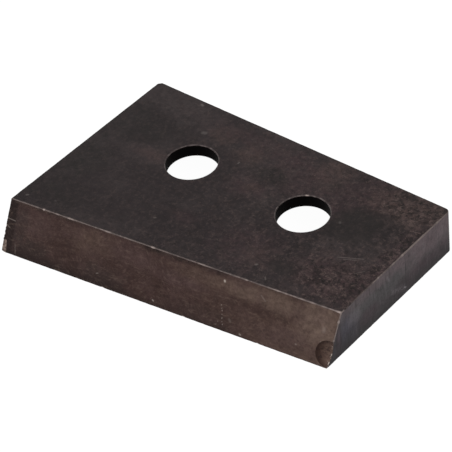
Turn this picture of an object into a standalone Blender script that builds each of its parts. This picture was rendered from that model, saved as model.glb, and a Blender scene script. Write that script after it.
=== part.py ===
"""Plunger blade: one piece of hardened steel plate, ground square at both ends, with a slanted
cutting edge, a front face that leans back from it, and two bolt holes over a recess that is
milled into the underside for the bolt heads."""

import bpy
import bmesh
from math import radians, tan
from mathutils import Matrix, Vector

# Plate: the cutting edge is the lower front edge, and the back edge is square to both ends
LENGTH = 0.118
LEFT_WIDTH = 0.080
RIGHT_WIDTH = 0.063
THICKNESS = 0.016
RELIEF_ANGLE = radians(28.0)

# Bolt holes, on a line parallel to the back edge and centred on the length
HOLE_DIAMETER = 0.017
HOLE_PITCH = 0.045
HOLE_TO_BACK = 0.0262
HOLE_EDGE_BREAK = 0.0005
HOLE_FACETS = 72

# Recess under the holes: the web is the metal that the bolt heads pull against
WEB = 0.0045
RECESS_REACH = 0.019
RECESS_CORNER = 0.008
RECESS_CORNER_STEPS = 8
RECESS_EDGE_BREAK = 0.0004

# Outer edges: sharp when new, now rubbed round, and most along the top of the right end
BROKEN_EDGE = 0.0004
RUBBED_EDGE = 0.0010
EDGE_STEPS = 3
CLIPPED_CORNER = 0.0011
ROUNDED_CORNER = 0.0010
ROUNDED_CORNER_STEPS = 4

# Dish ground into the lower right corner of the front face
DISH_RADIUS = 0.0098
DISH_DEPTH = 0.0009
DISH_FROM_END = 0.0009
DISH_HEIGHT = 0.0040
DISH_SEGMENTS = 72
DISH_RINGS = 40

# Knocks along the arrises of the front face, each a small bite with a round bottom
NICK_RADIUS = 0.0009
NICK_BITE = 0.00035
NICK_SEGMENTS = 12
NICK_RINGS = 8
LEFT_NICKS = 3
LEFT_NICK_START = 0.50
LEFT_NICK_STEP = 0.10
RIGHT_NICKS = (0.17, 0.50)
TOP_NICKS = (0.10, 0.14, 0.62)

# Corner broken off the left end of the cutting edge
CHIP_ALONG_EDGE = 0.0022
CHIP_ALONG_END = 0.0005
CHIP_UP = 0.0043

# How far a cutter runs past the face that it opens through, and what counts as one point
OVERSHOOT = 0.002
SAME_POINT = 0.00001

# Edges that turn by more than the first angle are broken; those over the second are shaded sharp
ARRIS_ANGLE = radians(30.0)
SHADING_ANGLE = radians(25.0)
ROUND_PROFILE = 0.5
FULL_TURN = radians(360.0)

# Colour of the dark heat scale on the steel
SCALE_COLOUR = (0.045, 0.036, 0.034, 1.0)
SCALE_ROUGHNESS = 0.55
SCALE_METALLIC = 0.6

# Places that follow from the sizes; the origin is under the middle of the plate's box
LEFT_END = -LENGTH / 2
RIGHT_END = LENGTH / 2
BACK_EDGE = LEFT_WIDTH / 2
HOLE_LINE = BACK_EDGE - HOLE_TO_BACK
FRONT_SLANT = (LEFT_WIDTH - RIGHT_WIDTH) / LENGTH
LEAN = tan(RELIEF_ANGLE)
SQUARE_TO_EDGE = Vector((FRONT_SLANT, -1.0, 0.0)).normalized()


def front_point(x, height):
    """Point of the leaning front face above the cutting edge at x, at a height above the base."""
    foot = BACK_EDGE - LEFT_WIDTH + FRONT_SLANT * (x - LEFT_END)
    set_back = LEAN * height / -SQUARE_TO_EDGE.y
    return Vector((x, foot + set_back, height))


FRONT_NORMAL = Vector((SQUARE_TO_EDGE.x, SQUARE_TO_EDGE.y, LEAN)).normalized()


def empty_scene():
    for item in list(bpy.data.objects):
        bpy.data.objects.remove(item, do_unlink=True)


def add_collection(name):
    group = bpy.data.collections.new(name)
    bpy.context.scene.collection.children.link(group)
    return group


def add_object(name, bm, group, place=None):
    """Turn a bmesh into an object of a collection, at the place given by a matrix."""
    mesh = bpy.data.meshes.new(name)
    bm.to_mesh(mesh)
    bm.free()
    item = bpy.data.objects.new(name, mesh)
    if place is not None:
        item.matrix_world = place
    group.objects.link(item)
    return item


def hide_cutter(item):
    item.hide_render = True
    item.display_type = "WIRE"
    return item


def cut_away(blade, cutter):
    """Subtract a cutter from the blade and leave the modifier live."""
    boolean = blade.modifiers.new("Cut " + cutter.name, "BOOLEAN")
    boolean.operation = "DIFFERENCE"
    boolean.solver = "EXACT"
    boolean.object = cutter


def steel_material():
    material = bpy.data.materials.new("scaled_steel")
    material.use_nodes = True
    shader = material.node_tree.nodes["Principled BSDF"]
    shader.inputs["Base Color"].default_value = SCALE_COLOUR
    shader.inputs["Roughness"].default_value = SCALE_ROUGHNESS
    shader.inputs["Metallic"].default_value = SCALE_METALLIC
    return material


def round_off(bm, edges, size, steps):
    """Round the edges in so many steps; one step makes a flat clip."""
    bmesh.ops.bevel(bm, geom=edges, offset=size, segments=steps, profile=ROUND_PROFILE, affect="EDGES")


def upright_edge(bm, x, y):
    """The vertical edge of the plate nearest to a place in plan."""
    uprights = [e for e in bm.edges if abs(e.verts[0].co.z - e.verts[1].co.z) > THICKNESS / 2]
    place = Vector((x, y))
    return min(uprights, key=lambda e: ((e.verts[0].co + e.verts[1].co).xy / 2 - place).length)


def is_rubbed(edge):
    """The top edge of the right end, which is worn rounder than the rest."""
    return all(v.co.x > RIGHT_END - BROKEN_EDGE and v.co.z > THICKNESS / 2 for v in edge.verts)


def make_plate(group):
    """Plate blank: a box cut by the leaning front plane, with its corners and edges broken."""
    bm = bmesh.new()
    bmesh.ops.create_cube(bm, size=1.0)
    bmesh.ops.scale(bm, vec=(LENGTH, LEFT_WIDTH, THICKNESS), verts=bm.verts)
    bmesh.ops.translate(bm, vec=(0.0, 0.0, THICKNESS / 2), verts=bm.verts)
    everything = bm.verts[:] + bm.edges[:] + bm.faces[:]
    cut = bmesh.ops.bisect_plane(
        bm, geom=everything, plane_co=front_point(LEFT_END, 0.0), plane_no=FRONT_NORMAL, clear_outer=True
    )
    rim = [part for part in cut["geom_cut"] if isinstance(part, bmesh.types.BMEdge)]
    bmesh.ops.contextual_create(bm, geom=rim)
    bmesh.ops.remove_doubles(bm, verts=bm.verts, dist=SAME_POINT)

    clipped = upright_edge(bm, LEFT_END, BACK_EDGE)
    round_off(bm, [clipped], CLIPPED_CORNER, 1)
    rounded = upright_edge(bm, RIGHT_END, BACK_EDGE)
    round_off(bm, [rounded], ROUNDED_CORNER, ROUNDED_CORNER_STEPS)
    bmesh.ops.recalc_face_normals(bm, faces=bm.faces)

    weights = bm.edges.layers.float.new("bevel_weight_edge")
    for edge in bm.edges:
        if edge.calc_face_angle() > ARRIS_ANGLE:
            edge[weights] = 1.0 if is_rubbed(edge) else BROKEN_EDGE / RUBBED_EDGE
    blade = add_object("blade", bm, group)

    broken = blade.modifiers.new("Broken edges", "BEVEL")
    broken.limit_method = "WEIGHT"
    broken.width = RUBBED_EDGE
    broken.segments = EDGE_STEPS
    broken.profile = ROUND_PROFILE
    broken.use_clamp_overlap = True
    return blade


def make_hole_cutter(name, x, group):
    """Turned cutter for one bolt hole, with a small flare at the top rim and at the lower lip."""
    radius = HOLE_DIAMETER / 2
    flare = radius + HOLE_EDGE_BREAK
    lip = THICKNESS - WEB
    profile = [
        (0.0, THICKNESS + OVERSHOOT),
        (flare, THICKNESS + OVERSHOOT),
        (flare, THICKNESS),
        (radius, THICKNESS - HOLE_EDGE_BREAK),
        (radius, lip + HOLE_EDGE_BREAK),
        (flare, lip),
        (flare, lip - OVERSHOOT),
        (0.0, lip - OVERSHOOT),
    ]
    bm = bmesh.new()
    points = [bm.verts.new((r, 0.0, z)) for r, z in profile]
    for first, second in zip(points, points[1:]):
        bm.edges.new((first, second))
    cutter = add_object(name, bm, group, Matrix.Translation((x, HOLE_LINE, 0.0)))
    turned = cutter.modifiers.new("Turned", "SCREW")
    turned.axis = "Z"
    turned.angle = FULL_TURN
    turned.steps = HOLE_FACETS
    turned.render_steps = HOLE_FACETS
    turned.use_merge_vertices = True
    turned.merge_threshold = SAME_POINT
    return hide_cutter(cutter)


def make_recess_cutter(group):
    """Milled pocket round both holes, with the corners that the cutter leaves."""
    depth = THICKNESS - WEB
    bm = bmesh.new()
    bmesh.ops.create_cube(bm, size=1.0)
    size = (HOLE_PITCH + 2 * RECESS_REACH, 2 * RECESS_REACH, depth + OVERSHOOT)
    bmesh.ops.scale(bm, vec=size, verts=bm.verts)
    bmesh.ops.translate(bm, vec=(0.0, HOLE_LINE, (depth - OVERSHOOT) / 2), verts=bm.verts)
    uprights = [e for e in bm.edges if abs(e.verts[0].co.z - e.verts[1].co.z) > depth / 2]
    round_off(bm, uprights, RECESS_CORNER, RECESS_CORNER_STEPS)
    floor = [e for e in bm.edges if all(v.co.z > depth - RECESS_EDGE_BREAK for v in e.verts)]
    round_off(bm, floor, RECESS_EDGE_BREAK, 1)
    return hide_cutter(add_object("recess_cutter", bm, group))


def ball(bm, centre, radius, segments, rings):
    made = bmesh.ops.create_uvsphere(bm, u_segments=segments, v_segments=rings, radius=radius)
    bmesh.ops.translate(bm, vec=centre, verts=made["verts"])


def make_dish_cutter(group):
    """Ball that grinds the shallow dish into the front face beside its right arris."""
    on_face = front_point(RIGHT_END - DISH_FROM_END, DISH_HEIGHT)
    bm = bmesh.new()
    ball(bm, on_face + FRONT_NORMAL * (DISH_RADIUS - DISH_DEPTH), DISH_RADIUS, DISH_SEGMENTS, DISH_RINGS)
    return hide_cutter(add_object("dish_cutter", bm, group))


def make_nick_cutter(group):
    """Balls that each bite a little way into an arris, one for every knock."""
    outward_left = (FRONT_NORMAL + Vector((-1.0, 0.0, 0.0))).normalized()
    outward_right = (FRONT_NORMAL + Vector((1.0, 0.0, 0.0))).normalized()
    outward_top = (FRONT_NORMAL + Vector((0.0, 0.0, 1.0))).normalized()
    arris_left = (front_point(LEFT_END, THICKNESS), front_point(LEFT_END, 0.0), outward_left)
    arris_right = (front_point(RIGHT_END, THICKNESS), front_point(RIGHT_END, 0.0), outward_right)
    arris_top = (front_point(LEFT_END, THICKNESS), front_point(RIGHT_END, THICKNESS), outward_top)
    left_shares = [LEFT_NICK_START + LEFT_NICK_STEP * count for count in range(LEFT_NICKS)]

    bm = bmesh.new()
    for (start, end, outward), shares in (
        (arris_left, left_shares),
        (arris_right, RIGHT_NICKS),
        (arris_top, TOP_NICKS),
    ):
        for share in shares:
            centre = start.lerp(end, share) + outward * (NICK_RADIUS - NICK_BITE)
            ball(bm, centre, NICK_RADIUS, NICK_SEGMENTS, NICK_RINGS)
    return hide_cutter(add_object("nick_cutter", bm, group))


def make_chip_cutter(group):
    """Block whose sloping face takes the corner off the left end of the cutting edge."""
    corner = front_point(LEFT_END, 0.0)
    along_edge = (front_point(RIGHT_END, 0.0) - corner).normalized() * CHIP_ALONG_EDGE
    along_end = Vector((0.0, CHIP_ALONG_END, 0.0))
    arris = (front_point(LEFT_END, THICKNESS) - corner).normalized() * CHIP_UP
    face_normal = (along_edge - arris).cross(along_end - arris)
    if face_normal.dot(arris) < 0:
        face_normal.negate()
    face_normal.normalize()
    broken_face = corner + (along_edge + along_end + arris) / 3
    side = 2 * CHIP_UP

    bm = bmesh.new()
    bmesh.ops.create_cube(bm, size=side)
    turn = Vector((0.0, 0.0, 1.0)).rotation_difference(face_normal).to_matrix().to_4x4()
    place = Matrix.Translation(broken_face - face_normal * side / 2) @ turn
    return hide_cutter(add_object("chip_cutter", bm, group, place))


def main():
    empty_scene()
    parts = add_collection("plunger_blade")
    cutters = add_collection("cutters")

    blade = make_plate(parts)
    cut_away(blade, make_recess_cutter(cutters))
    for name, side in (("left", -1), ("right", 1)):
        cut_away(blade, make_hole_cutter(name + "_hole_cutter", side * HOLE_PITCH / 2, cutters))
    cut_away(blade, make_dish_cutter(cutters))
    cut_away(blade, make_nick_cutter(cutters))
    cut_away(blade, make_chip_cutter(cutters))

    blade.data.materials.append(steel_material())
    blade.data.shade_smooth()
    blade.data.set_sharp_from_angle(angle=SHADING_ANGLE)


main()
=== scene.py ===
from math import exp, radians, tan

import bmesh
import bpy
from mathutils import Matrix, Vector, noise
from mathutils.geometry import intersect_point_line


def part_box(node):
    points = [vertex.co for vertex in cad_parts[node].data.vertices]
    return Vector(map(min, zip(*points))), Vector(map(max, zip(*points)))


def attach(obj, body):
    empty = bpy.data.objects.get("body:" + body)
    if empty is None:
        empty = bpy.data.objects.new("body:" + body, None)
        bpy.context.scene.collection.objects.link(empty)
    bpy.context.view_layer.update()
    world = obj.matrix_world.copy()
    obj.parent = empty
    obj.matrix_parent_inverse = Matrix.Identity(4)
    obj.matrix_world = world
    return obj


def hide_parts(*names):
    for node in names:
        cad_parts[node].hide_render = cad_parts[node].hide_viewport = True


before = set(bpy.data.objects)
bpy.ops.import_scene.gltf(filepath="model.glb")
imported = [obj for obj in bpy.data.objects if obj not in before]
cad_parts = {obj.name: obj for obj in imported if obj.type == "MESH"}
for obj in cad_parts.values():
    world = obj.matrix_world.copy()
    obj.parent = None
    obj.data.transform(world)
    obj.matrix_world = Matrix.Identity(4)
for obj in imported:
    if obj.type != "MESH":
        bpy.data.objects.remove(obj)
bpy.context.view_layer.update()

# Camera
# The photograph looks down on the blade from the front right, from well back with a long lens,
# and the camera is held a little askew.
MM = 0.001
EYE = Vector((342.9, -344.5, 430.2)) * MM
EYE_TURN = (radians(48.911), radians(5.467), radians(39.891))
LENS_MM = 165.2

camera_data = bpy.data.cameras.new("photo_camera")
camera_data.lens = LENS_MM
camera = bpy.data.objects.new("photo_camera", camera_data)
camera.location = EYE
camera.rotation_euler = EYE_TURN
bpy.context.scene.collection.objects.link(camera)
bpy.context.scene.camera = camera

# Plate
# The blade starts as a flat bar of tool steel, sawn square at both ends and hardened, so its top
# and bottom are dark with mill scale and heat stains. The two back corners are eased.
WIDE_END = 80 * MM
NARROW_END = 63 * MM
CLIPPED_CORNER = 1.1 * MM
ROUNDED_CORNER = 1.6 * MM
ROUNDING_STEPS = 7

plate_low, plate_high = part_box("blade")
left_end, right_end = plate_low.x, plate_high.x
back_edge = plate_high.y
thickness = plate_high.z - plate_low.z
# The finishes are laid out in millimetres
right_end_mm = right_end / MM
top_mm = thickness / MM


def select_only(item):
    """Leave one object selected and active, in object mode."""
    bpy.ops.object.select_all(action="DESELECT")
    item.select_set(True)
    bpy.context.view_layer.objects.active = item


def pick_edges(item, wanted):
    """In edit mode, select just the edges that the test wants, and say how many they are."""
    bpy.ops.mesh.select_mode(type="EDGE")
    bm = bmesh.from_edit_mesh(item.data)
    for edge in bm.edges:
        edge.select_set(False)
    chosen = [edge for edge in bm.edges if wanted(edge)]
    for edge in chosen:
        edge.select_set(True)
    bmesh.update_edit_mesh(item.data)
    return len(chosen)


def is_upright_at(x, y):
    """A test for the upright edge of the plate at a place in plan."""
    def wanted(edge):
        a, b = (vert.co for vert in edge.verts)
        middle = (a + b) / 2
        return abs(a.z - b.z) > thickness / 2 and (middle.xy - Vector((x, y))).length < MM
    return wanted


def colour(red, green, blue):
    """A colour as seen on screen, 0 to 255, in the shader's own measure."""
    return tuple(((part / 255 + 0.055) / 1.055) ** 2.4 for part in (red, green, blue)) + (1,)


def plug(tree, socket, value):
    """Give a socket either a link or a plain value."""
    if isinstance(value, bpy.types.NodeSocket):
        tree.links.new(value, socket)
    else:
        socket.default_value = value


def add_node(tree, kind, inputs, **settings):
    """Add a node with its settings made and its inputs plugged, and give its first output."""
    node = tree.nodes.new(kind)
    for name, value in settings.items():
        setattr(node, name, value)
    for name, value in inputs.items():
        plug(tree, node.inputs[name], value)
    return node.outputs[0]


def reckon(tree, operation, *values):
    """One sum on numbers."""
    return add_node(tree, "ShaderNodeMath", dict(enumerate(values)), operation=operation)


def reckon_place(tree, operation, *values):
    """One sum on vectors."""
    result = add_node(tree, "ShaderNodeVectorMath", dict(enumerate(values)), operation=operation)
    return result.node.outputs["Value" if operation in ("LENGTH", "DOT_PRODUCT") else "Vector"]


def fade(tree, value, nothing, full):
    """A mask that rises softly from 0 to 1 as a number goes from one limit to the other."""
    return add_node(
        tree, "ShaderNodeMapRange", {"Value": value, "From Min": nothing, "From Max": full},
        interpolation_type="SMOOTHSTEP",
    )


def cloud(tree, place, size, detail=4, roughness=0.6):
    """Noise whose lumps are about so many millimetres across."""
    per_mm = reckon(tree, "DIVIDE", 1, size)
    return add_node(tree, "ShaderNodeTexNoise", {
        "Vector": place, "Scale": per_mm, "Detail": detail, "Roughness": roughness,
    })


def paint(tree, under, over, mask, strength=1):
    """Lay one colour over another where the mask is, at a strength."""
    if strength != 1:
        mask = reckon(tree, "MULTIPLY", mask, strength)
    # A Mix node takes colours in its sockets 6 and 7, and gives one in its socket 2
    mixed = add_node(tree, "ShaderNodeMix", {0: mask, 6: under, 7: over}, data_type="RGBA")
    return mixed.node.outputs[2]


def start_group(name, inputs, result):
    """Open a node group. Its inputs are vectors or numbers, as their first values are."""
    group = bpy.data.node_groups.new(name, "ShaderNodeTree")
    for label, value in inputs.items():
        kind = "NodeSocketVector" if isinstance(value, tuple) else "NodeSocketFloat"
        group.interface.new_socket(label, in_out="INPUT", socket_type=kind).default_value = value
    group.interface.new_socket(result, in_out="OUTPUT", socket_type="NodeSocketFloat")
    return group, group.nodes.new("NodeGroupInput").outputs


def close_group(group, value):
    """Send a value out of a node group."""
    group.links.new(value, group.nodes.new("NodeGroupOutput").inputs[0])


def use(tree, group, **inputs):
    """Place a node group in a material."""
    return add_node(tree, "ShaderNodeGroup", inputs, node_tree=group)


# A stain with a wandering soft edge round a middle
stain, given = start_group("stain", {
    "Place": (0, 0, 0), "Middle": (0, 0, 0), "Reach": (1, 1, 1), "Wander": 0.5, "Softness": 0.6,
}, "Mask")
share = reckon_place(stain, "SUBTRACT", given["Place"], given["Middle"])
share = reckon_place(stain, "DIVIDE", share, given["Reach"])
ragged = reckon(stain, "SUBTRACT", cloud(stain, given["Place"], 3.5, 5, 0.65), 0.5)
ragged = reckon(stain, "MULTIPLY", ragged, reckon(stain, "MULTIPLY", given["Wander"], 4))
span = reckon(stain, "ADD", reckon_place(stain, "LENGTH", share), ragged)
outer = reckon(stain, "ADD", 1, given["Softness"])
inner = reckon(stain, "SUBTRACT", 1, given["Softness"])
close_group(stain, fade(stain, span, outer, inner))

# Flecks of a size that cover so much of the face
flecks, given = start_group("flecks", {
    "Place": (0, 0, 0), "Size": 1.0, "Cover": 0.5, "Softness": 0.05,
}, "Mask")
limit = reckon(flecks, "MULTIPLY_ADD", given["Cover"], -0.5, 0.75)
lumps = cloud(flecks, given["Place"], given["Size"], 7, 0.72)
below = reckon(flecks, "SUBTRACT", limit, given["Softness"])
above = reckon(flecks, "ADD", limit, given["Softness"])
close_group(flecks, fade(flecks, lumps, below, above))

# A stroke from one place to another. One that goes nowhere is a round spot
stroke, given = start_group("stroke", {
    "Place": (0, 0, 0), "From": (0, 0, 0), "To": (1, 0, 0), "Width": 1.0, "Softness": 0.5,
}, "Mask")
reach = reckon_place(stroke, "SUBTRACT", given["Place"], given["From"])
run = reckon_place(stroke, "SUBTRACT", given["To"], given["From"])
run_square = reckon(stroke, "MAXIMUM", reckon_place(stroke, "DOT_PRODUCT", run, run), 0.0001)
along = reckon(stroke, "DIVIDE", reckon_place(stroke, "DOT_PRODUCT", reach, run), run_square)
along = reckon(stroke, "MINIMUM", reckon(stroke, "MAXIMUM", along, 0), 1)
spread = add_node(stroke, "ShaderNodeCombineXYZ", {"X": along, "Y": along, "Z": along})
off = reckon_place(stroke, "SUBTRACT", reach, reckon_place(stroke, "MULTIPLY", run, spread))
half = reckon(stroke, "DIVIDE", given["Width"], 2)
outer = reckon(stroke, "MULTIPLY", half, reckon(stroke, "ADD", 1, given["Softness"]))
inner = reckon(stroke, "MULTIPLY", half, reckon(stroke, "SUBTRACT", 1, given["Softness"]))
close_group(stroke, fade(stroke, reckon_place(stroke, "LENGTH", off), outer, inner))

# Small round specks, on a share of the cells of a loose net
specks, given = start_group("specks", {
    "Place": (0, 0, 0), "Spacing": 5.0, "Share": 0.3, "Size": 0.3,
}, "Mask")
net = specks.nodes.new("ShaderNodeTexVoronoi")
plug(specks, net.inputs["Vector"], given["Place"])
plug(specks, net.inputs["Scale"], reckon(specks, "DIVIDE", 1, given["Spacing"]))
gap = reckon(specks, "MULTIPLY", net.outputs["Distance"], given["Spacing"])
dot = fade(specks, gap, given["Size"], reckon(specks, "DIVIDE", given["Size"], 3))
lot = add_node(specks, "ShaderNodeSeparateColor", {"Color": net.outputs["Color"]})
drawn = reckon(specks, "LESS_THAN", lot, given["Share"])
close_group(specks, reckon(specks, "MULTIPLY", dot, drawn))

# Drawn-out grain, turned and then squeezed: the marks left by a grinder, a saw or a mill
grain, given = start_group("grain", {
    "Place": (0, 0, 0), "Turn": (0, 0, 0), "Squeeze": (1, 1, 1), "Size": 1.0,
}, "Height")
turned = add_node(grain, "ShaderNodeVectorRotate", {
    "Vector": given["Place"], "Rotation": given["Turn"],
}, rotation_type="EULER_XYZ")
squeezed = reckon_place(grain, "MULTIPLY", turned, given["Squeeze"])
close_group(grain, cloud(grain, squeezed, given["Size"], 5, 0.7))


def start_steel(name):
    """Open a steel finish, and give its node tree and the place on the blade in millimetres."""
    finish = bpy.data.materials.new(name)
    finish.use_nodes = True
    tree = finish.node_tree
    from_middle = tree.nodes.new("ShaderNodeTexCoord").outputs["Object"]
    return finish, tree, reckon_place(tree, "MULTIPLY", from_middle, (1 / MM,) * 3)


def close_steel(tree, tint, roughness, height, depth, metallic=0.45, gloss=0.1):
    """Join a finish's colour, roughness and relief to its shader. The depth is in millimetres."""
    shader = tree.nodes["Principled BSDF"]
    shader.inputs["Specular IOR Level"].default_value = gloss
    shader.inputs["Metallic"].default_value = metallic
    plug(tree, shader.inputs["Base Color"], tint)
    plug(tree, shader.inputs["Roughness"], roughness)
    relief = add_node(tree, "ShaderNodeBump", {"Strength": 1, "Distance": depth * MM, "Height": height})
    plug(tree, shader.inputs["Normal"], relief)


# Colours of the scaled faces
SCALE_GREY = colour(40, 34, 35)
SCALE_WORN = colour(57, 50, 50)
SCALE_DARK = colour(34, 31, 30)
HEAT_BROWN = colour(57, 43, 45)
HEAT_TAN = colour(71, 57, 54)
RUST_BROWN = colour(61, 46, 47)
FLAKED_LIGHT = colour(99, 83, 79)
FLAKED_DARK = colour(21, 18, 17)
BARE_SPECK = colour(128, 120, 116)
# Square to the face, a stain reaches deep enough to be met by all of it
DEEP = 60

scaled_top, tree, place = start_steel("scaled_top")
broad = cloud(tree, place, 22, 8, 0.6)
tint = paint(tree, SCALE_GREY, SCALE_WORN, fade(tree, broad, 0.42, 0.66), 0.7)
# Stains: middle in plan, reach along and across, colour and strength
top_stains = [
    # The wide end, dark at the corners and paler along the back and beside the left hole
    ((-50, 20), (14, 9), SCALE_DARK, 0.6),
    ((-48, -21), (14, 6), SCALE_DARK, 0.6),
    ((-54, -4), (8, 9), SCALE_DARK, 0.8),
    ((8, -20), (22, 5), SCALE_GREY, 0.7),
    ((-30, -17), (16, 8), SCALE_GREY, 0.7),
    ((-42, 34), (15, 6), SCALE_WORN, 1),
    ((-38, 8.5), (9, 4), SCALE_WORN, 0.9),
    ((-38, 9), (7, 3), HEAT_BROWN, 0.35),
    ((-35, 9.5), (5, 2.5), HEAT_TAN, 0.4),
    # Heat stains along the back and between the holes
    ((-22, 30), (5, 4.5), HEAT_TAN, 0.6),
    ((-9, 27), (5, 5.5), HEAT_TAN, 0.6),
    ((-7, 33), (22, 4), HEAT_BROWN, 0.5),
    ((19, 33), (6, 7), HEAT_TAN, 0.7),
    ((10, 25), (12, 8), HEAT_BROWN, 0.6),
    ((0, 15), (7, 5), HEAT_BROWN, 0.6),
    ((1, 15), (3, 2.5), HEAT_TAN, 0.5),
    ((29, 22), (5, 6), HEAT_BROWN, 0.6),
    ((3, 22), (6, 4), SCALE_DARK, 0.9),
    ((34, 32), (9, 8), HEAT_BROWN, 0.7),
    # In front of the right hole and over the narrow end
    ((18, -8), (10, 8), HEAT_BROWN, 0.6),
    ((23, -9), (5, 4), HEAT_TAN, 0.35),
    ((-7, -8), (4, 2.5), HEAT_BROWN, 0.5),
    ((48, -5), (13, 9), RUST_BROWN, 0.7),
    ((48, 33), (13, 6), HEAT_TAN, 0.8),
    ((57, 12), (3, 14), HEAT_BROWN, 0.6),
]
crazed = use(tree, flecks, Place=place, Size=2.4, Cover=0.5, Softness=0.1)
crazed = reckon(tree, "MULTIPLY_ADD", crazed, 0.6, 0.5)
for (x, y), (along, across), stain_colour, strength in top_stains:
    mask = use(tree, stain, Place=place, Middle=(x, y, top_mm), Reach=(along, across, DEEP))
    tint = paint(tree, tint, stain_colour, reckon(tree, "MULTIPLY", mask, crazed), strength)
# Mill scale has flaked off towards the narrow end, but for two whole patches beside the right hole
along_blade = add_node(tree, "ShaderNodeSeparateXYZ", {"Vector": place})
flaked = reckon(tree, "MULTIPLY_ADD", fade(tree, along_blade, -60, 55), 0.35, 0.15)
for (x, y), (along, across) in (((50, -5), (15, 11)), ((49, 33), (14, 8)), ((57, 14), (4, 16))):
    bared = use(tree, stain, Place=place, Middle=(x, y, top_mm), Reach=(along, across, DEEP))
    flaked = reckon(tree, "MAXIMUM", flaked, bared)
for (x, y), (along, across), strength in (((39.5, 18), (8.5, 8), 0.68), ((33, -9), (5, 3), 0.5)):
    patch = {"Middle": (x, y, top_mm), "Reach": (along, across, DEEP), "Wander": 0.35, "Softness": 0.3}
    whole = use(tree, stain, Place=place, **patch)
    tint = paint(tree, tint, SCALE_DARK, whole, strength)
    flaked = reckon(tree, "MULTIPLY", flaked, reckon(tree, "MULTIPLY_ADD", whole, -strength, 1))
elsewhere = reckon_place(tree, "ADD", place, (31, 17, 0))
light = use(tree, flecks, Place=place, Size=3.2, Cover=0.42, Softness=0.07)
tint = paint(tree, tint, FLAKED_LIGHT, light, reckon(tree, "MULTIPLY", flaked, 0.3))
dark = use(tree, flecks, Place=elsewhere, Size=3.6, Cover=0.42, Softness=0.07)
tint = paint(tree, tint, FLAKED_DARK, dark, reckon(tree, "MULTIPLY", flaked, 0.6))
# Fine grain, strongest where the scale has flaked, and a little bare metal
light_grain = use(tree, flecks, Place=place, Size=1.1, Cover=0.36, Softness=0.07)
dark_grain = use(tree, flecks, Place=elsewhere, Size=1.3, Cover=0.4, Softness=0.07)
tint = paint(tree, tint, FLAKED_LIGHT, light_grain, reckon(tree, "MULTIPLY_ADD", flaked, 0.58, 0.03))
tint = paint(tree, tint, FLAKED_DARK, dark_grain, reckon(tree, "MULTIPLY_ADD", flaked, 0.7, 0.1))
grinding = use(tree, grain, Place=place, Turn=(0, 0, -0.1), Squeeze=(0.12, 1, 1), Size=0.9)
tint = paint(tree, tint, SCALE_WORN, fade(tree, grinding, 0.52, 0.72), 0.3)
pinholes = use(tree, specks, Place=place, Spacing=8, Share=0.3, Size=0.25)
bare = reckon(tree, "MULTIPLY", pinholes, 0.4)
# Scratches and pale spots: from, to, width and strength
top_scratches = [
    ((43.5, 4), (50.5, 7.6), 0.2, 0.36),
    ((45.5, 4.2), (49, 6), 0.2, 0.32),
    ((52, 1), (54, 3.5), 0.2, 0.2),
    ((-29, 27.2), (-28.4, 27.4), 1.4, 0.22),
    ((-39, 38.2), (-38.4, 38), 0.8, 0.35),
    ((34.4, 16.9), (34.7, 16.6), 0.7, 0.2),
    ((-14.6, -13.2), (-14.4, -13), 0.6, 0.25),
    ((25.2, -12.2), (25.4, -12), 0.7, 0.3),
    ((-9.6, 22), (-9.6, 21.4), 0.5, 0.3),
    ((-56, -27.5), (-55.6, -27.2), 0.6, 0.3),
    ((-46.3, -24.6), (-46, -24.5), 0.5, 0.12),
    ((31, -15), (31.8, -15.8), 0.4, 0.25),
]
for start, end, width, strength in top_scratches:
    mark = use(tree, stroke, Place=place, From=(*start, top_mm), To=(*end, top_mm), Width=width, Softness=0.8)
    bare = reckon(tree, "MAXIMUM", bare, reckon(tree, "MULTIPLY", mark, strength))
tint = paint(tree, tint, BARE_SPECK, bare)
roughness = reckon(tree, "MULTIPLY_ADD", cloud(tree, place, 3), 0.25, 0.4)
raised = reckon(tree, "MULTIPLY", light_grain, flaked)
sunk = reckon(tree, "MULTIPLY", dark_grain, flaked)
close_steel(tree, tint, roughness, reckon(tree, "SUBTRACT", raised, sunk), depth=0.02)

# Underside: the same scale, scuffed along the blade where it slides
scaled_underside, tree, place = start_steel("scaled_underside")
tint = paint(tree, SCALE_GREY, SCALE_WORN, fade(tree, cloud(tree, place, 15, 3), 0.4, 0.65))
brown = use(tree, flecks, Place=place, Size=9, Cover=0.35, Softness=0.1)
tint = paint(tree, tint, HEAT_BROWN, brown)
scuffs = use(tree, grain, Place=place, Squeeze=(0.04, 1, 1), Size=0.8)
tint = paint(tree, tint, FLAKED_LIGHT, fade(tree, scuffs, 0.55, 0.75), 0.6)
dark = use(tree, flecks, Place=place, Size=2.4, Cover=0.3)
tint = paint(tree, tint, FLAKED_DARK, dark, 0.6)
roughness = reckon(tree, "MULTIPLY_ADD", scuffs, -0.3, 0.62)
close_steel(tree, tint, roughness, reckon(tree, "ADD", scuffs, cloud(tree, place, 0.6)), depth=0.02)

# Sawn ends and back: grey with a dark foot. The right end is blue at the front and pinker and
# paler towards the back
END_GREY = colour(64, 60, 61)
END_BLUE = colour(56, 52, 62)
END_PINK = colour(90, 76, 79)
END_PURPLE = colour(64, 47, 53)
END_DARK = colour(26, 22, 23)
END_PALE = colour(108, 102, 105)
# The stains of the right end die out before the left end
SHORT_OF_LEFT_END = 40

sawn_end, tree, place = start_steel("sawn_end")
height_up = add_node(tree, "ShaderNodeSeparateXYZ", {"Vector": place}).node.outputs["Z"]
ragged_up = reckon(tree, "ADD", height_up, reckon(tree, "MULTIPLY_ADD", cloud(tree, place, 5, 6), 9, -4.5))
tint = paint(tree, END_GREY, END_PINK, fade(tree, ragged_up, 10, 17), 0.5)
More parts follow.
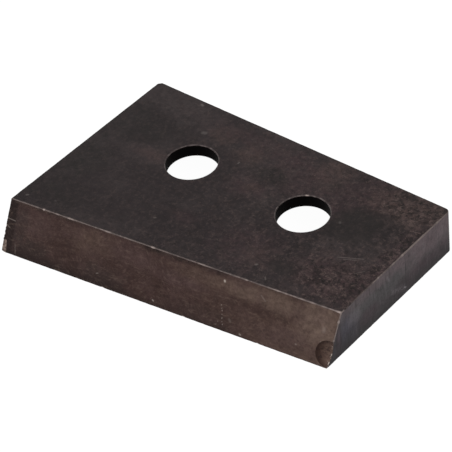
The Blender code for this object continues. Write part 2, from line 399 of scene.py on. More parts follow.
# Stains of the right end: middle along it and up it, reach, colour and strength
end_stains = [
    ((32, 15), (16, 9), END_PINK, 0.8),
    ((-13, 5), (6, 7), END_BLUE, 0.8),
    ((-8.3, 10), (2.8, 2.4), END_PALE, 0.4),
    ((5, 14), (12, 2), END_PINK, 0.5),
    ((-2, 5), (5, 3), END_PURPLE, 0.7),
    ((25, 4), (16, 3), END_PURPLE, 0.8),
    ((-17, 8), (1.5, 8), END_PURPLE, 0.7),
]
for (y, z), (along, up), stain_colour, strength in end_stains:
    spot = {"Middle": (right_end_mm, y, z), "Reach": (SHORT_OF_LEFT_END, along, up), "Wander": 0.3}
    mask = use(tree, stain, Place=place, **spot)
    tint = paint(tree, tint, stain_colour, mask, strength)
upright = use(tree, grain, Place=place, Squeeze=(1, 1, 0.12), Size=1)
tint = paint(tree, tint, END_PALE, fade(tree, upright, 0.52, 0.75), 0.45)
tint = paint(tree, tint, END_DARK, fade(tree, upright, 0.48, 0.3), 0.6)
tint = paint(tree, tint, END_DARK, fade(tree, ragged_up, 11, 0.5), 0.7)
tint = paint(tree, tint, END_DARK, fade(tree, height_up, 3, 0.3), 0.38)
blotches = use(tree, flecks, Place=place, Size=3.5, Cover=0.45, Softness=0.12)
low_down = reckon(tree, "MULTIPLY_ADD", fade(tree, height_up, 9, 4), 0.25, 0.15)
tint = paint(tree, tint, END_DARK, blotches, low_down)
grit = use(tree, flecks, Place=place, Size=1, Cover=0.4)
tint = paint(tree, tint, END_DARK, grit, 0.3)
rub_from, rub_to = (right_end_mm, 9.5, 5.6), (right_end_mm, 15, 3.2)
rub = use(tree, stroke, Place=place, From=rub_from, To=rub_to, Width=2, Softness=1)
rub = reckon(tree, "MULTIPLY", rub, use(tree, flecks, Place=place, Size=0.7, Cover=0.55))
tint = paint(tree, tint, END_PALE, rub, 0.35)
# Saw lines and knocks of the right end, a dark front corner, and painted shade down the rounded back corner:
# from, to, width, colour and strength
end_lines = [
    ((-1.2, 16), (-1.2, 12.8), 0.4, END_DARK, 0.6),
    ((16.5, 16), (16.6, 9), 0.4, END_DARK, 0.5),
    ((32.2, 16), (32.3, 11), 0.4, END_DARK, 0.3),
    ((15.4, 3), (16.2, 2.4), 0.5, END_PALE, 0.8),
    ((7.6, 13), (8.4, 11), 0.7, END_PALE, 0.3),
    # Painted shade where the rounded back corner turns away from the light
    ((39.8, 0), (39.8, 16), 1.4, END_DARK, 0.5),
    ((-16.8, 12.5), (-22.8, 0), 2.8, END_DARK, 0.5),
]
for start, end, width, line_colour, strength in end_lines:
    line = {"From": (right_end_mm, *start), "To": (right_end_mm, *end), "Width": width, "Softness": 0.8}
    tint = paint(tree, tint, line_colour, use(tree, stroke, Place=place, **line), strength)
dots = use(tree, specks, Place=place, Spacing=7, Share=0.3, Size=0.2)
tint = paint(tree, tint, END_PALE, dots, 0.7)
roughness = reckon(tree, "MULTIPLY_ADD", cloud(tree, place, 4), 0.25, 0.38)
close_steel(tree, tint, roughness, upright, depth=0.03)

bpy.ops.object.select_all(action="DESELECT")
bpy.ops.mesh.primitive_cube_add(
    size=1,
    location=(0, back_edge - WIDE_END / 2, thickness / 2),
    scale=(right_end - left_end, WIDE_END, thickness),
)
blade = bpy.context.active_object
blade.name = "worn_blade"
for finish in (scaled_top, scaled_underside, sawn_end):
    blade.data.materials.append(finish)
bpy.ops.object.transform_apply(location=True, rotation=True, scale=True)
top_slot, underside_slot, sawn_slot = range(3)
for face in blade.data.polygons:
    if face.normal.z > 0.5:
        face.material_index = top_slot
    elif face.normal.z < -0.5:
        face.material_index = underside_slot
    else:
        face.material_index = sawn_slot
bpy.ops.object.mode_set(mode="EDIT")
pick_edges(blade, is_upright_at(left_end, back_edge))
bpy.ops.mesh.bevel(offset=CLIPPED_CORNER, segments=1, affect="EDGES")
pick_edges(blade, is_upright_at(right_end, back_edge))
bpy.ops.mesh.bevel(offset=ROUNDED_CORNER, segments=ROUNDING_STEPS, affect="EDGES")
bpy.ops.object.mode_set(mode="OBJECT")

# Front face
# The long front face is ground to a plane that runs at a slant in plan and leans back, down to
# the cutting edge. It has a warm brown bloom, paler and more olive towards the narrow end.
LEAN = tan(radians(28))

slant = (WIDE_END - NARROW_END) / (right_end - left_end)
square_to_front = Vector((slant, -1, 0)).normalized()
front_out = Vector((square_to_front.x, square_to_front.y, LEAN)).normalized()


def on_front(x, height):
    """A point of the leaning front face, above the place x along the blade."""
    foot = back_edge - WIDE_END + slant * (x - left_end)
    return Vector((x, foot - LEAN * height / square_to_front.y, height))


tip = on_front(left_end, 0)
along_edge = (on_front(right_end, 0) - tip).normalized()
up_face = front_out.cross(along_edge)


def front_mm(along, up):
    """A place on the face in millimetres, along the cutting edge and square up from it."""
    return tuple(tip / MM + along_edge * along + up_face * up)


GROUND_BROWN = colour(57, 41, 38)
GROUND_TAN = colour(87, 70, 62)
GROUND_PINK = colour(77, 60, 59)
GROUND_RED = colour(51, 36, 33)
GROUND_GREY = colour(50, 42, 41)
GROUND_DARK = colour(31, 23, 22)
GROUND_PALE = colour(110, 93, 83)
BARE_STEEL = colour(170, 158, 150)
# The height that a millimetre up the leaning face gains
RISE = 0.88

ground_front, tree, place = start_steel("ground_front")
along_blade = add_node(tree, "ShaderNodeSeparateXYZ", {"Vector": place})
wandering = reckon(tree, "MULTIPLY_ADD", cloud(tree, place, 14, 6), 40, -20)
tint = paint(tree, GROUND_BROWN, GROUND_TAN, fade(tree, reckon(tree, "ADD", along_blade, wandering), 0, 80))
# Stains: middle on the face, reach along and up it, colour and strength
front_stains = [
    # The wide end, redder and greyer
    ((24, 7), (9, 5), GROUND_RED, 0.7),
    ((10, 4), (7, 3), GROUND_GREY, 0.7),
    ((11, 12), (8, 4), GROUND_PINK, 0.5),
    ((38, 4), (8, 3), GROUND_GREY, 0.6),
    ((34, 14), (8, 3), GROUND_TAN, 0.4),
    ((48, 13), (8, 3.5), GROUND_PINK, 0.5),
    # The middle
    ((46, 8), (7, 3), GROUND_RED, 0.4),
    ((58, 7.5), (4, 3), GROUND_RED, 0.6),
    ((66, 11), (8, 2), GROUND_PINK, 0.7),
    ((75, 14.5), (11, 2.4), GROUND_TAN, 0.6),
    ((5, 9), (3.5, 8), GROUND_GREY, 0.7),
    ((33, 12), (6, 4), GROUND_TAN, 0.35),
    # Dark scale left below the top arris
    ((61, 17.6), (9, 1), GROUND_DARK, 1),
    ((77, 17.6), (4, 1.1), GROUND_DARK, 1),
    ((22, 17.6), (9, 0.6), GROUND_DARK, 0.5),
    # The narrow end, paler and more olive
    ((75, 3), (10, 3), GROUND_GREY, 0.3),
    ((95, 10.5), (9, 1.8), GROUND_RED, 0.65),
    ((84, 8), (4, 2), GROUND_RED, 0.4),
    ((98, 14.5), (15, 2.8), GROUND_PALE, 0.42),
    ((114, 12), (6, 6), GROUND_PALE, 0.85),
    ((104, 5), (9, 3), GROUND_PINK, 0.5),
]
for (along, up), (reach, reach_up), stain_colour, strength in front_stains:
    mask = use(tree, stain, Place=place, Middle=front_mm(along, up), Reach=(reach, DEEP, reach_up * RISE))
    tint = paint(tree, tint, stain_colour, mask, strength)
# Mottling in five sizes
elsewhere = reckon_place(tree, "ADD", place, (0, 0, 40))
for mottle_place, size, mottle_colour, strength in (
    (place, 7, GROUND_PINK, 0.4),
    (elsewhere, 4, GROUND_RED, 0.45),
    (place, 2.2, GROUND_DARK, 0.22),
    (elsewhere, 1.2, GROUND_PALE, 0.07),
    (place, 0.9, GROUND_DARK, 0.25),
):
    mottle = use(tree, flecks, Place=mottle_place, Size=size, Cover=0.42, Softness=0.12)
    tint = paint(tree, tint, mottle_colour, mottle, strength)
# Scale left down the left end, and along the top and the foot of the face
left_column = {"From": front_mm(1.5, -3), "To": front_mm(2.2, 19), "Width": 4.4, "Softness": 0.25}
tint = paint(tree, tint, GROUND_DARK, use(tree, stroke, Place=place, **left_column), 0.85)
top_band = {"From": front_mm(0, 18.1), "To": front_mm(119, 18.1), "Width": 1.8, "Softness": 0.8}
broken_up = use(tree, flecks, Place=place, Size=5, Cover=0.42, Softness=0.1)
broken_band = reckon(tree, "MULTIPLY", use(tree, stroke, Place=place, **top_band), broken_up)
tint = paint(tree, tint, GROUND_DARK, broken_band, 0.45)
for far_end, width, strength in ((88, 3, 0.45), (45, 6, 0.62)):
    foot_band = {"From": front_mm(0, 0), "To": front_mm(far_end, 0), "Width": width, "Softness": 1}
    tint = paint(tree, tint, GROUND_DARK, use(tree, stroke, Place=place, **foot_band), strength)
# Grinding marks lie along the face, with patches of finer ones askew to them
along_marks = use(tree, grain, Place=place, Turn=(0, 0.12, 0), Squeeze=(0.12, 1, 1), Size=0.8)
rising_marks = use(tree, grain, Place=place, Turn=(0, 0.75, 0), Squeeze=(0.15, 1, 1), Size=0.6)
falling_marks = use(tree, grain, Place=elsewhere, Turn=(0, -0.9, 0), Squeeze=(0.15, 1, 1), Size=0.6)
patches = fade(tree, cloud(tree, elsewhere, 9), 0.42, 0.58)
other_patches = reckon(tree, "SUBTRACT", 1, patches)
for marks, shown in ((along_marks, 0.8), (rising_marks, patches), (falling_marks, other_patches)):
    shown = reckon(tree, "MULTIPLY", shown, 0.3)
    tint = paint(tree, tint, GROUND_PALE, fade(tree, marks, 0.52, 0.72), shown)
    tint = paint(tree, tint, GROUND_DARK, fade(tree, marks, 0.48, 0.28), shown)
# Knocks and scores that show bare steel: from, to, width and strength
front_knocks = [
    ((81.1, 15.6), (81.2, 15.4), 0.55, 0.85),
    ((57.7, 1.9), (58, 1.7), 0.4, 0.5),
    ((89, 1), (89.4, 0.9), 0.45, 0.4),
    ((84.8, 4.3), (85.2, 3.9), 0.7, 0.1),
    ((94, 15), (95.6, 13.7), 0.4, 0.13),
    ((116, 11.6), (116, 11), 1, 0.16),
    ((115.7, 7.4), (115.8, 6.2), 0.4, 0.2),
    ((36.4, 3.9), (37, 4.1), 0.3, 0.25),
    ((107.8, 4.1), (108, 4.1), 0.4, 0.25),
    # A row of dots runs down to the cutting edge
    ((81.4, 8), (81.4, 7.9), 0.22, 0.4),
    ((81.7, 7), (81.7, 6.9), 0.22, 0.3),
    ((81.9, 6.4), (82, 6.2), 0.22, 0.4),
    ((82.1, 5.2), (82.1, 5.1), 0.22, 0.35),
    ((82.3, 4.2), (82.3, 3.8), 0.2, 0.4),
    ((82.5, 3), (82.5, 2.9), 0.22, 0.35),
    ((82.8, 2.2), (82.8, 2), 0.22, 0.4),
    ((81, 2.6), (81.1, 2.5), 0.22, 0.25),
    ((80.4, 1.5), (80.5, 1.4), 0.22, 0.2),
    # Scores at the left end
    ((1, 11.5), (4, 11.3), 0.25, 0.3),
    ((1.2, 9.2), (2.2, 8.6), 0.35, 0.2),
    ((5.1, 3.8), (5.6, 0.8), 0.3, 0.12),
]
for start, end, width, strength in front_knocks:
    knock = {"From": front_mm(*start), "To": front_mm(*end), "Width": width, "Softness": 1}
    tint = paint(tree, tint, BARE_STEEL, use(tree, stroke, Place=place, **knock), strength)
roughness = reckon(tree, "MULTIPLY_ADD", cloud(tree, place, 4), 0.25, 0.38)
close_steel(tree, tint, roughness, reckon(tree, "ADD", along_marks, rising_marks), depth=0.02)

select_only(blade)
bpy.ops.object.mode_set(mode="EDIT")
bpy.ops.mesh.select_all(action="SELECT")
bpy.ops.mesh.bisect(plane_co=on_front(left_end, 0), plane_no=front_out, use_fill=True, clear_outer=True)
bpy.ops.object.mode_set(mode="OBJECT")
front_slot = len(blade.data.materials)
blade.data.materials.append(ground_front)
for face in blade.data.polygons:
    if face.normal.dot(front_out) > 0.99:
        face.material_index = front_slot

# Arrises
# Every edge was left sharp and has since been knocked and rubbed. The break varies in width along
# the blade, the edges round the front face carry nicks, and the rubbed stretches are bare steel with painted
# highlight laid on them.
SHARP_TURN = radians(34)
BREAK = 0.25 * MM
BREAK_STEPS = 4
# A long edge belongs to the break of a run when it lies this near to it and this nearly along it
BESIDE_RUN = 1.5 * BREAK
ALONG_RUN = radians(8)
# The longest edge left along a break, so that it can follow the wear
WEAR_STEP = 0.5 * MM
# How fast and how far the wear swings along an arris, in long and in short waves, and its least
WEAR_GRAIN = 1 / (1.7 * MM)
WEAR_SWING = 0.35
WEAR_FINE_GRAIN = 1 / (0.5 * MM)
WEAR_FINE_SWING = 0.25
LEAST_WEAR = 0.4

worn_runs = {
    "top": (on_front(left_end, thickness), on_front(right_end, thickness)),
    "left": (on_front(left_end, thickness), on_front(left_end, 0)),
    "right": (on_front(right_end, thickness), on_front(right_end, 0)),
    "edge": (on_front(left_end, 0), on_front(right_end, 0)),
    "end": (Vector((right_end, -8 * MM, thickness)), Vector((right_end, back_edge, thickness))),
}


def along_run(name, share):
    """The point at a share of the way along a worn run."""
    start, end = worn_runs[name]
    return start.lerp(end, share)


# Nicks: the run, how far along it, half-length in millimetres, and how many plain breaks deep
nick_plan = [
    ("left", 0.37, 0.3, 0.6),
    ("left", 0.51, 0.4, 1.0),
    ("left", 0.58, 0.3, 0.7),
    ("left", 0.66, 0.45, 1.2),
    ("left", 0.72, 0.3, 0.8),
    ("top", 0.107, 0.4, 0.7),
    ("top", 0.15, 0.9, 0.2),
    ("top", 0.192, 1.2, 0.3),
    ("top", 0.31, 1.2, 0.3),
    ("top", 0.45, 0.7, 0.5),
    ("top", 0.60, 1.2, 0.3),
    ("top", 0.73, 0.5, 0.3),
    ("top", 0.82, 0.5, 0.5),
    ("top", 0.995, 0.9, 0.7),
    ("right", 0.17, 0.5, 0.9),
    ("right", 0.50, 0.4, 0.5),
    ("right", 0.66, 0.5, 0.5),
    ("right", 0.80, 0.4, 0.7),
    ("right", 0.93, 0.5, 0.8),
    ("end", 0.24, 0.5, 0.6),
    ("end", 0.49, 0.7, 0.6),
    ("end", 0.71, 0.5, 0.3),
    ("end", 0.86, 0.6, 0.4),
    ("end", 0.62, 11, 0.35),
    ("edge", 0.33, 0.5, 0.9),
    ("edge", 0.58, 0.5, 1.0),
    ("edge", 0.80, 0.4, 0.8),
]
nicks = [(along_run(run, share), half_length * MM, cut) for run, share, half_length, cut in nick_plan]

ARRIS_DULL = colour(50, 43, 42)
ARRIS_WORN = colour(76, 66, 64)
ARRIS_BRIGHT = colour(170, 155, 149)

rubbed_and_highlit_arris, tree, place = start_steel("rubbed_and_highlit_arris")
tint = paint(tree, ARRIS_DULL, ARRIS_WORN, use(tree, flecks, Place=place, Size=2, Cover=0.4))
patchy = use(tree, flecks, Place=place, Size=3, Cover=0.5, Softness=0.12)
patchy = reckon(tree, "MULTIPLY_ADD", patchy, 0.6, 0.4)
# How much each rubbed run shows bare steel and painted highlight, between which shares of its length
bare_and_highlit = 0
for run, start_share, end_share, strength in (
    ("top", 0, 0.8, 0.2),
    ("top", 0.8, 1, 0.33),
    ("right", 0, 0.45, 0.32),
    ("right", 0.45, 1, 0.15),
    ("end", 0, 0.25, 0.15),
    ("end", 0.2, 1, 0.35),
):
    start = tuple(along_run(run, start_share) / MM)
    end = tuple(along_run(run, end_share) / MM)
    near = use(tree, stroke, Place=place, From=start, To=end, Width=3, Softness=0.3)
    bare_and_highlit = reckon(tree, "MAXIMUM", bare_and_highlit, reckon(tree, "MULTIPLY", near, strength))
bare_and_highlit = reckon(tree, "MULTIPLY", bare_and_highlit, patchy)
# Each nick shines a little wider than it is cut, and a deep one more than a shallow one
for nick, half_length, cut in nicks:
    nick_mm = tuple(nick / MM)
    width = 2.4 * half_length / MM
    knot = use(tree, stroke, Place=place, From=nick_mm, To=nick_mm, Width=width, Softness=0.8)
    bare_and_highlit = reckon(tree, "MAXIMUM", bare_and_highlit, reckon(tree, "MULTIPLY", knot, min(0.7, 0.15 + cut / 2)))
# Bare steel along the arrises and at the nicks, with painted highlight on the rubbed runs
tint = paint(tree, tint, ARRIS_BRIGHT, bare_and_highlit)
roughness = reckon(tree, "MULTIPLY_ADD", bare_and_highlit, -0.2, 0.5)
close_steel(tree, tint, roughness, cloud(tree, place, 0.5), depth=0.02, metallic=0.5)
arris_slot = len(blade.data.materials)
blade.data.materials.append(rubbed_and_highlit_arris)


def turns_sharply(edge):
    """A test for the edges where two faces meet at a sharp turn."""
    return len(edge.link_faces) == 2 and edge.calc_face_angle() > SHARP_TURN


def gap_to_run(point, run):
    """How far a point lies from a straight run of edge, and the nearest point of the run."""
    foot, share = intersect_point_line(point, *run)
    foot = run[0].lerp(run[1], min(max(share, 0), 1))
    return (point - foot).length, foot


def lies_beside(run):
    """A test for the long edges of the break that follows one run."""
    def wanted(edge):
        a, b = (vert.co for vert in edge.verts)
        close = max(gap_to_run(a, run)[0], gap_to_run(b, run)[0]) < BESIDE_RUN
        is_long = (b - a).length > WEAR_STEP
        return close and is_long and (b - a).angle(run[1] - run[0]) % radians(180) < ALONG_RUN
    return wanted


def wear_at(point):
    """How many times the plain break an arris has lost at a point."""
    rubbed = 1 + WEAR_SWING * noise.noise(point * WEAR_GRAIN)
    rubbed += WEAR_FINE_SWING * noise.noise(point * WEAR_FINE_GRAIN)
    knocked = sum(cut * exp(-((point - nick).length / half_length) ** 2) for nick, half_length, cut in nicks)
    return max(LEAST_WEAR, rubbed) + knocked


select_only(blade)
bpy.ops.object.mode_set(mode="EDIT")
pick_edges(blade, turns_sharply)
bm = bmesh.from_edit_mesh(blade.data)
sharp_runs = [tuple(vert.co.copy() for vert in edge.verts) for edge in bm.edges if edge.select]
bpy.ops.mesh.bevel(
    offset=BREAK, segments=BREAK_STEPS, profile=0.5, affect="EDGES", clamp_overlap=False, material=arris_slot
)
for run in sharp_runs:
    while pick_edges(blade, lies_beside(run)):
        bpy.ops.mesh.subdivide(number_cuts=1)

bm = bmesh.from_edit_mesh(blade.data)
worn = {vert for face in bm.faces if face.material_index == arris_slot for vert in face.verts}
for vert in worn:
    gap, foot = min((gap_to_run(vert.co, run) for run in sharp_runs), key=lambda found: found[0])
    vert.co = foot + (vert.co - foot) * wear_at(foot)
bmesh.update_edit_mesh(blade.data)
bpy.ops.object.mode_set(mode="OBJECT")

# Bolt holes and recess
# Two holes are drilled through, and a pocket is milled up into the underside round both of them,
# so that the bolt heads lie below the face that slides past the fixed knife.
HOLE_RADIUS = 8.5 * MM
HOLE_PITCH = 45 * MM
HOLE_TO_BACK = 26.2 * MM
HOLE_SIDES = 120
WEB = 4.5 * MM
RECESS_REACH = 19 * MM
RECESS_CORNER = 8 * MM
RECESS_CORNER_STEPS = 14
RECESS_FLOOR_EDGE = 0.4 * MM
RIM_BREAK = 0.22 * MM
TOP_RIM_BREAK = 0.33 * MM
OVERSHOOT = 2 * MM

hole_line = back_edge - HOLE_TO_BACK
hole_places = [Vector((side * HOLE_PITCH / 2, hole_line, 0)) for side in (-1, 1)]
recess_top = thickness - WEB


def take_away(item, cutter, finish):
    """Subtract a finished cutter from the piece. The cut faces take the finish."""
    cutter.data.materials.append(finish)
    select_only(item)
    cut = item.modifiers.new("cut", "BOOLEAN")
    cut.operation = "DIFFERENCE"
    cut.solver = "EXACT"
    cut.material_mode = "TRANSFER"
    cut.object = cutter
    bpy.ops.object.modifier_apply(modifier=cut.name)
    bpy.data.objects.remove(cutter)


def on_hole_rim(edge):
    """A test for the sharp edges round the holes, at the top face or in the recess."""
    point = edge.verts[0].co
    reach = HOLE_RADIUS + RIM_BREAK
    return turns_sharply(edge) and any((point.xy - hole.xy).length < reach for hole in hole_places)


def is_high(edge):
    """True for an edge that lies above the floor of the recess."""
    return edge.verts[0].co.z > recess_top + RIM_BREAK


def on_recess_mouth(edge):
    """A test for the sharp edges where the walls of the recess meet the underside."""
    return turns_sharply(edge) and all(
        abs(vert.co.x) < HOLE_PITCH / 2 + RECESS_REACH + BREAK
        and abs(vert.co.y - hole_line) < RECESS_REACH + BREAK
        and abs(vert.co.z) < RIM_BREAK
        for vert in edge.verts
    )


# Near black, partly the scale and partly painted shade in the bores
BORE_BLACK = colour(4, 2, 2)
BORE_BROWN = colour(20, 13, 10)
MILLED_GREY = colour(58, 54, 52)
MILLED_PALE = colour(88, 82, 78)
RIM_GREY = colour(56, 49, 48)
RIM_PALE = colour(96, 87, 85)

# The bores are dark with scale, and darkened further to near black as painted shade deep in the holes, with
# drill marks round them
drilled_bore, tree, place = start_steel("drilled_bore")
drill_marks = use(tree, grain, Place=place, Squeeze=(0.15, 0.15, 1), Size=0.5)
tint = paint(tree, BORE_BLACK, BORE_BROWN, fade(tree, drill_marks, 0.45, 0.7))
tint = paint(tree, tint, BORE_BLACK, use(tree, flecks, Place=place, Size=2.5, Cover=0.5))
roughness = reckon(tree, "MULTIPLY_ADD", drill_marks, 0.3, 0.55)
close_steel(tree, tint, roughness, drill_marks, depth=0.04, metallic=0.1, gloss=0.02)

# The recess keeps the marks of the end mill, under stains
milled_recess, tree, place = start_steel("milled_recess")
mill_marks = add_node(tree, "ShaderNodeTexWave", {
    "Vector": place, "Scale": 0.22, "Distortion": 2, "Detail": 3, "Detail Scale": 0.6,
}).node.outputs["Fac"]
tint = paint(tree, MILLED_GREY, MILLED_PALE, mill_marks, 0.5)
tint = paint(tree, tint, SCALE_DARK, use(tree, flecks, Place=place, Size=6, Cover=0.45, Softness=0.1))
elsewhere = reckon_place(tree, "ADD", place, (0, 60, 0))
stained = use(tree, flecks, Place=elsewhere, Size=9, Cover=0.35, Softness=0.1)
tint = paint(tree, tint, HEAT_BROWN, stained, 0.6)
roughness = reckon(tree, "MULTIPLY_ADD", mill_marks, 0.12, 0.4)
close_steel(tree, tint, roughness, mill_marks, depth=0.02)

# The rims of the holes are countersunk a little, and rubbed, with one knock behind the right hole
rubbed_rim, tree, place = start_steel("rubbed_rim")
tint = paint(tree, RIM_GREY, RIM_PALE, use(tree, flecks, Place=place, Size=2, Cover=0.5, Softness=0.12))
knock = {"From": (18.1, 21.2, top_mm), "To": (18.3, 21.4, top_mm), "Width": 0.7, "Softness": 0.8}
tint = paint(tree, tint, ARRIS_BRIGHT, use(tree, stroke, Place=place, **knock), 0.8)
turned_marks = use(tree, grain, Place=place, Squeeze=(1, 1, 4), Size=0.6)
roughness = reckon(tree, "MULTIPLY_ADD", turned_marks, 0.2, 0.35)
close_steel(tree, tint, roughness, turned_marks, depth=0.02)

bpy.ops.object.select_all(action="DESELECT")
bpy.ops.mesh.primitive_cube_add(
    size=1,
    location=(0, hole_line, (recess_top - OVERSHOOT) / 2),
    scale=(HOLE_PITCH + 2 * RECESS_REACH, 2 * RECESS_REACH, recess_top + OVERSHOOT),
)
recess = bpy.context.active_object
bpy.ops.object.transform_apply(location=True, rotation=True, scale=True)
bpy.ops.object.mode_set(mode="EDIT")
pick_edges(recess, lambda edge: abs(edge.verts[0].co.z - edge.verts[1].co.z) > recess_top / 2)
bpy.ops.mesh.bevel(offset=RECESS_CORNER, segments=RECESS_CORNER_STEPS, affect="EDGES")
pick_edges(recess, lambda edge: all(vert.co.z > recess_top - RECESS_FLOOR_EDGE for vert in edge.verts))
bpy.ops.mesh.bevel(offset=RECESS_FLOOR_EDGE, segments=3, affect="EDGES")
bpy.ops.object.mode_set(mode="OBJECT")
take_away(blade, recess, milled_recess)

for hole in hole_places:
    bpy.ops.mesh.primitive_cylinder_add(
        vertices=HOLE_SIDES, radius=HOLE_RADIUS, depth=2 * thickness,
        location=hole + Vector((0, 0, thickness)),
    )
    drill = bpy.context.active_object
    bpy.ops.object.transform_apply(location=True, rotation=True, scale=True)
    take_away(blade, drill, drilled_bore)

select_only(blade)
rim_slot = len(blade.data.materials)
blade.data.materials.append(rubbed_rim)
bpy.ops.object.mode_set(mode="EDIT")
pick_edges(blade, lambda edge: on_hole_rim(edge) and not is_high(edge) or on_recess_mouth(edge))
bpy.ops.mesh.bevel(
    offset=RIM_BREAK, segments=3, profile=0.5, affect="EDGES", clamp_overlap=False, material=arris_slot
)
pick_edges(blade, lambda edge: on_hole_rim(edge) and is_high(edge))
bpy.ops.mesh.bevel(
    offset=TOP_RIM_BREAK, segments=4, profile=0.5, affect="EDGES", clamp_overlap=False, material=rim_slot
)
bpy.ops.object.mode_set(mode="OBJECT")

# Dish
# The lower right corner of the front face has a shallow half-round hollow, ground in with the
# edge of a wheel, which runs out over the end of the blade.
DISH_RADIUS = 9.8 * MM
DISH_DEPTH = 0.9 * MM
DISH_FROM_END = 0.9 * MM
DISH_HEIGHT = 4.0 * MM
DISH_SIDES = 160
DISH_RINGS = 90

dish_middle = on_front(right_end - DISH_FROM_END, DISH_HEIGHT)

# Dark brown for the painted shade and scale inside the rim of the hollow
HOLLOW_SHADE_AND_SCALE = colour(40, 26, 22)

dished, tree, place = start_steel("dished")
wheel_marks = use(tree, grain, Place=place, Squeeze=(0.5, 1, 1), Size=1.2)
tint = paint(tree, GROUND_BROWN, GROUND_TAN, fade(tree, wheel_marks, 0.25, 0.6))
# Painted shade lies in a ring inside the rim, most of all on the side away from the end, where the wall of
# the hollow faces away from the light, and some scale has gathered there too
shade_ring_middle = tuple(dish_middle / MM + Vector((1.3, 0, 0.3)))
off_shade_ring = reckon_place(tree, "LENGTH", reckon_place(tree, "SUBTRACT", place, shade_ring_middle))
off_shade_ring = reckon(tree, "ABSOLUTE", reckon(tree, "SUBTRACT", off_shade_ring, 5.1))
tint = paint(tree, tint, HOLLOW_SHADE_AND_SCALE, fade(tree, off_shade_ring, 2.8, 0), 0.9)
crumbs = use(tree, flecks, Place=place, Size=1.2, Cover=0.4)
tint = paint(tree, tint, GROUND_DARK, crumbs, 0.6)
chips = use(tree, flecks, Place=place, Size=0.9, Cover=0.3)
along_blade = add_node(tree, "ShaderNodeSeparateXYZ", {"Vector": place})
close_to_end = fade(tree, along_blade, right_end_mm - 1, right_end_mm - 0.2)
tint = paint(tree, tint, BARE_STEEL, reckon(tree, "MULTIPLY", chips, close_to_end), 0.6)
# Two knocks where the hollow meets the end, bare steel with painted highlight on the arris: height and width
for up, width in ((3.5, 0.7), (1.4, 0.6)):
    knock = {"From": (right_end_mm, -23, up), "To": (right_end_mm, -18, up), "Width": width, "Softness": 0.5}
    tint = paint(tree, tint, BARE_STEEL, use(tree, stroke, Place=place, **knock), 0.8)
close_steel(tree, tint, 0.5, wheel_marks, depth=0.01)

bpy.ops.object.select_all(action="DESELECT")
bpy.ops.mesh.primitive_uv_sphere_add(
    segments=DISH_SIDES, ring_count=DISH_RINGS, radius=DISH_RADIUS,
    location=dish_middle + front_out * (DISH_RADIUS - DISH_DEPTH),
)
wheel = bpy.context.active_object
bpy.ops.object.transform_apply(location=True, rotation=True, scale=True)
take_away(blade, wheel, dished)

# Broken corner
# The left end of the cutting edge has lost its tip: a rough facet of tan, bare steel that starts
# at a step a little way up the arris.
CHIP_ALONG_EDGE = 2.1 * MM
CHIP_ALONG_EDGE_AT_STEP = 1.4 * MM
CHIP_ALONG_END = 0.5 * MM
CHIP_UP = 4.4 * MM

BROKEN_PALE = colour(128, 112, 104)
BROKEN_BROWN = colour(84, 71, 64)

fresh_break, tree, place = start_steel("fresh_break")
crumbs = use(tree, flecks, Place=place, Size=0.9, Cover=0.5)
tint = paint(tree, BROKEN_BROWN, BROKEN_PALE, crumbs)
close_steel(tree, tint, 0.5, cloud(tree, place, 0.8), depth=0.1)

up_arris = (on_front(left_end, thickness) - tip).normalized()
foot_of_chip = tip + along_edge * CHIP_ALONG_EDGE
step = tip + up_arris * CHIP_UP + along_edge * CHIP_ALONG_EDGE_AT_STEP
up_chip = (step - foot_of_chip).normalized()
chip_out = up_chip.cross(tip + Vector((0, CHIP_ALONG_END, 0)) - foot_of_chip).normalized()
# The facet faces forward
if chip_out.y > 0:
    chip_out.negate()
bpy.ops.mesh.primitive_cube_add(
    size=2 * CHIP_UP,
    location=step + (chip_out - up_chip) * CHIP_UP,
    rotation=Matrix((up_chip.cross(chip_out), up_chip, chip_out)).transposed().to_euler(),
)
flake = bpy.context.active_object
bpy.ops.object.transform_apply(location=True, rotation=True, scale=True)
take_away(blade, flake, fresh_break)

# The flat faces shade flat and the breaks round
select_only(blade)
bpy.ops.object.shade_smooth_by_angle(angle=radians(40))
even = blade.modifiers.new("flat faces stay flat", "WEIGHTED_NORMAL")
even.keep_sharp = True
even.weight = 100
bpy.ops.object.modifier_apply(modifier=even.name)

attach(blade, "root")
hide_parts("blade")

# Floor and light
# A pale floor under soft studio light. To the camera the lit floor is white and keeps the shadow.
# Seen from below it is clear.
FLOOR_SIDE = 8
FLOOR_GAP = 0.05 * MM
FLOOR_GLOW = 0.97
SKY_LIGHT = 0.55
WHITE = (1, 1, 1, 1)


def shows_background(tree):
    """1 for the rays that carry the background to the eye, straight or by way of metal or glass."""
    ray = tree.nodes.new("ShaderNodeLightPath").outputs
    seen = reckon(tree, "MAXIMUM", ray["Is Camera Ray"], ray["Is Glossy Ray"])
    return reckon(tree, "MAXIMUM", seen, ray["Is Transmission Ray"])


def mix_shaders(tree, mask, without, where):
    """One shader where the mask is, and another without it."""
    return add_node(tree, "ShaderNodeMixShader", {0: mask, 1: without, 2: where})


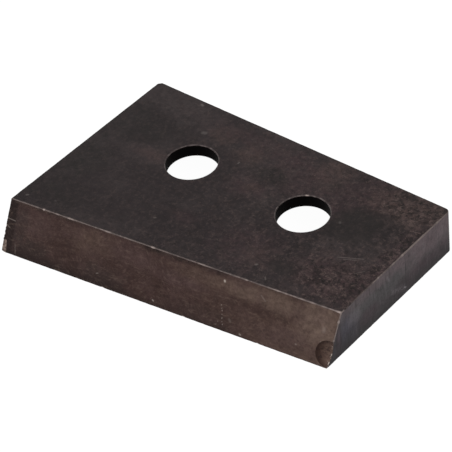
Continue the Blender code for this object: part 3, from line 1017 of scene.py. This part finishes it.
bpy.ops.object.select_all(action="DESELECT")
bpy.ops.mesh.primitive_plane_add(size=FLOOR_SIDE, location=(0, 0, -FLOOR_GAP))
floor = bpy.context.active_object
floor.name = "floor"
floor_paint = bpy.data.materials.new("floor_paint")
floor_paint.use_nodes = True
floor.data.materials.append(floor_paint)
tree = floor_paint.node_tree
tree.nodes.remove(tree.nodes["Principled BSDF"])
plain = add_node(tree, "ShaderNodeBsdfDiffuse", {"Color": (0.8, 0.8, 0.8, 1)})
catching = add_node(tree, "ShaderNodeBsdfDiffuse", {"Color": (0.1, 0.1, 0.1, 1)})
glowing = add_node(tree, "ShaderNodeEmission", {"Strength": FLOOR_GLOW})
white = add_node(tree, "ShaderNodeAddShader", {0: catching, 1: glowing})
from_above = mix_shaders(tree, shows_background(tree), plain, white)
is_below = tree.nodes.new("ShaderNodeNewGeometry").outputs["Backfacing"]
clear = add_node(tree, "ShaderNodeBsdfTransparent", {})
floor_look = mix_shaders(tree, is_below, from_above, clear)
tree.links.new(floor_look, tree.nodes["Material Output"].inputs["Surface"])

world = bpy.data.worlds.new("studio")
bpy.context.scene.world = world
world.use_nodes = True
tree = world.node_tree
sky = add_node(tree, "ShaderNodeBackground", {"Color": WHITE, "Strength": SKY_LIGHT})
white = add_node(tree, "ShaderNodeBackground", {"Color": WHITE, "Strength": 1})
studio = mix_shaders(tree, shows_background(tree), sky, white)
tree.links.new(studio, tree.nodes["World Output"].inputs["Surface"])


def add_softbox(name, place, size, power):
    """A square area lamp that faces the blade."""
    lamp = bpy.data.lights.new(name, "AREA")
    lamp.energy = power
    lamp.size = size
    box = bpy.data.objects.new(name, lamp)
    box.location = place
    box.rotation_euler = Vector(place).to_track_quat("Z", "Y").to_euler()
    bpy.context.scene.collection.objects.link(box)


add_softbox("left_softbox", place=(-0.5, -0.7, 0.9), size=0.6, power=6)
add_softbox("right_softbox", place=(0.9, -0.2, 0.8), size=0.5, power=3)

bpy.context.scene.view_settings.view_transform = "Standard"
